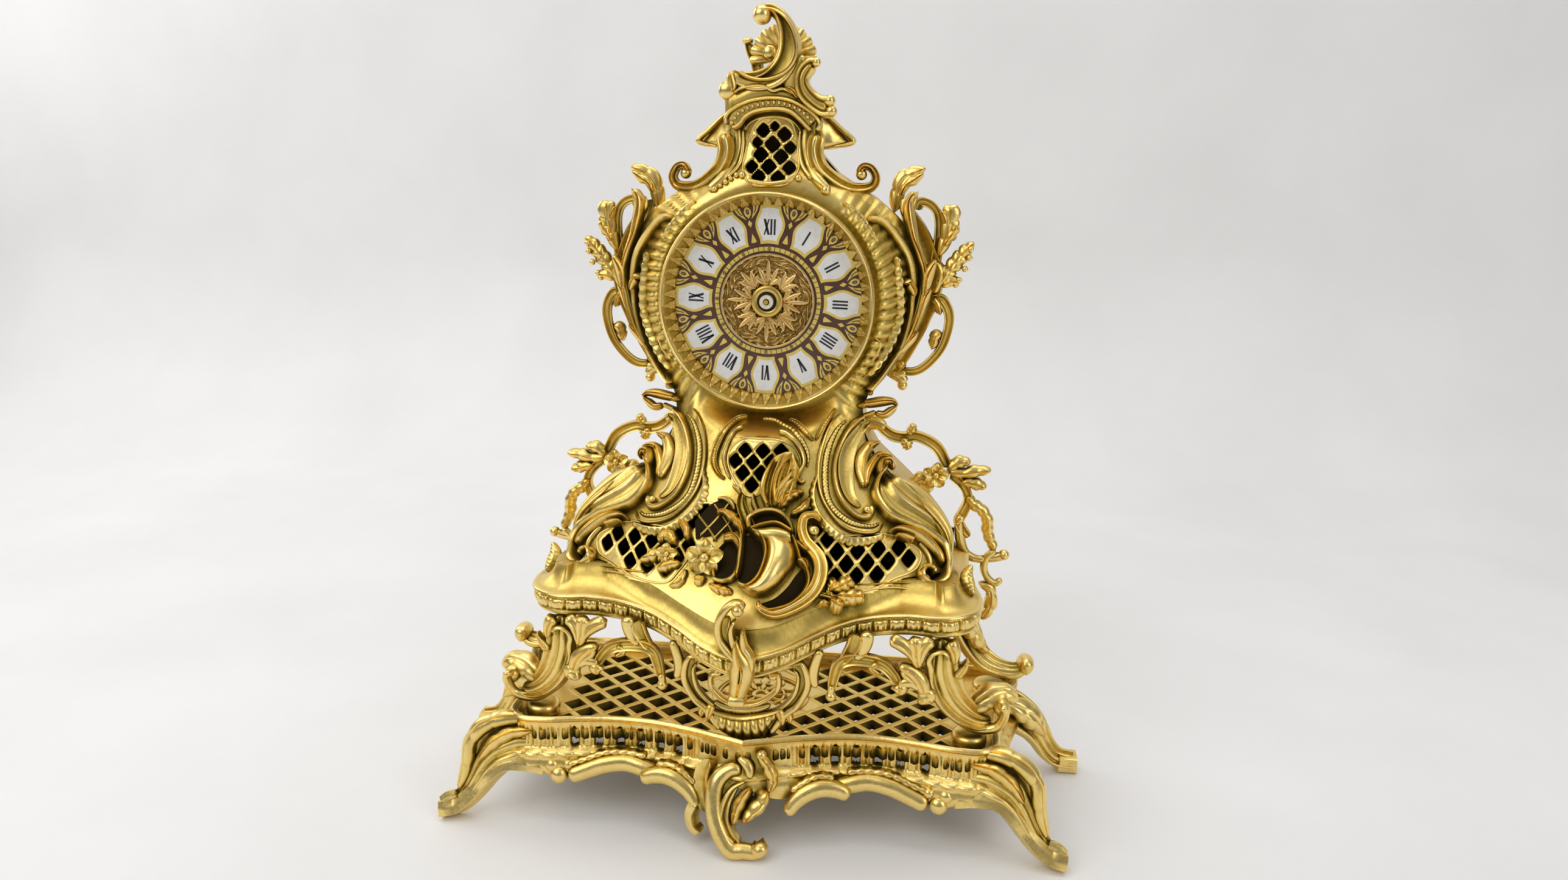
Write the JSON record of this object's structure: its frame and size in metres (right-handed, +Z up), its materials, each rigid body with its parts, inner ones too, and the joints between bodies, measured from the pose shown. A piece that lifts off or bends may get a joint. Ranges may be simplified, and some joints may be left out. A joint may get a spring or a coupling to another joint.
{
  "type": "mantel clock",
  "caption": "Cast brass mantel clock in the Rococo manner: waisted openwork case with a round dial, on scroll legs over a pierced plinth, with a battery movement and a hinged back door.",
  "frame": {"origin": "on the floor, under the middle of the overall width and depth", "axes": "+Z up, -Y is the way the dial faces, +X to the right of someone who looks at the dial"},
  "size_m": [0.3622, 0.1438, 0.4148],
  "materials": {
    "cast_brass": "polished cast brass, darkened in the hollows",
    "sheet_brass": "satin sheet brass",
    "dial_enamel": "printed and lacquered dial",
    "dial_centre": "embossed and darkened",
    "steel": "plain bright steel",
    "black_plastic": "moulded",
    "cream_plastic": "moulded",
    "cell_jacket": "plain jacket",
    "board_green": "lacquered board",
    "copper_wire": "wound copper wire"
  },
  "bodies": {
    "case": {"base_moulding": "cast_brass", "case_front": "cast_brass", "case_side_right": "sheet_brass", "case_side_left": "sheet_brass", "back_plate": "sheet_brass", "door_hinge_pin": "steel", "bezel": "cast_brass", "dial_plate": "dial_enamel", "dial_centre": "dial_centre", "dial_nut": "cast_brass", "movement_case": "black_plastic", "movement_cover": "black_plastic", "battery_cell": "cell_jacket", "contact_plus": "steel", "contact_minus": "steel", "circuit_board": "board_green", "motor_coil": "copper_wire", "motor_stator": "steel", "crest": "cast_brass", "roof_cap": "cast_brass", "rear_finial": "cast_brass", "wing_right": "cast_brass", "wing_left": "cast_brass", "garland_right": "cast_brass", "garland_left": "cast_brass", "cartouche": "cast_brass", "drop_ornament": "cast_brass", "leg_front_right": "cast_brass", "leg_front_left": "cast_brass", "leg_rear_right": "cast_brass", "leg_rear_left": "cast_brass", "foot_pad_front_right": "cast_brass", "foot_pad_front_left": "cast_brass", "foot_pad_rear_right": "cast_brass", "foot_pad_rear_left": "cast_brass", "front_apron": "cast_brass", "plinth_top": "cast_brass", "plinth_apron": "cast_brass", "plinth_foot_front_right": "cast_brass", "plinth_foot_front_left": "cast_brass", "plinth_foot_rear_right": "cast_brass", "plinth_foot_rear_left": "cast_brass", "plinth_foot_centre": "cast_brass"},
    "minute_work": {"minute_shaft": "cast_brass"},
    "motion_work": {"motion_wheel": "cream_plastic", "setting_knob": "black_plastic"},
    "hour_work": {"hour_wheel": "cream_plastic"},
    "door": {"back_door": "sheet_brass"},
    "latch": {"door_latch": "cast_brass"}
  },
  "joints": [
    {"name": "minute_turn", "type": "hinge", "parent": "case", "child": "minute_work", "pos_m": [0, 0.03671, 0.2676], "axis": [0, 1, 0], "continuous": true},
    {"name": "motion_turn", "type": "hinge", "parent": "case", "child": "motion_work", "pos_m": [0, 0.04071, 0.2796], "axis": [0, 1, 0], "continuous": true},
    {"name": "hour_turn", "type": "hinge", "parent": "case", "child": "hour_work", "pos_m": [0, 0.03371, 0.2676], "axis": [0, 1, 0], "continuous": true},
    {"name": "door_swing", "type": "hinge", "parent": "case", "child": "door", "pos_m": [0.0499, 0.06881, 0.2676], "axis": [0, 0, -1], "range_deg": [0, 110]},
    {"name": "latch_turn", "type": "hinge", "parent": "door", "child": "latch", "pos_m": [-0.04, 0.06871, 0.2676], "axis": [0, 1, 0], "range_deg": [0, 90]}
  ],
  "couplings": [
    {"joint": "motion_turn", "follows": "minute_turn", "ratio": -0.33333},
    {"joint": "hour_turn", "follows": "minute_turn", "ratio": 0.083333}
  ]
}
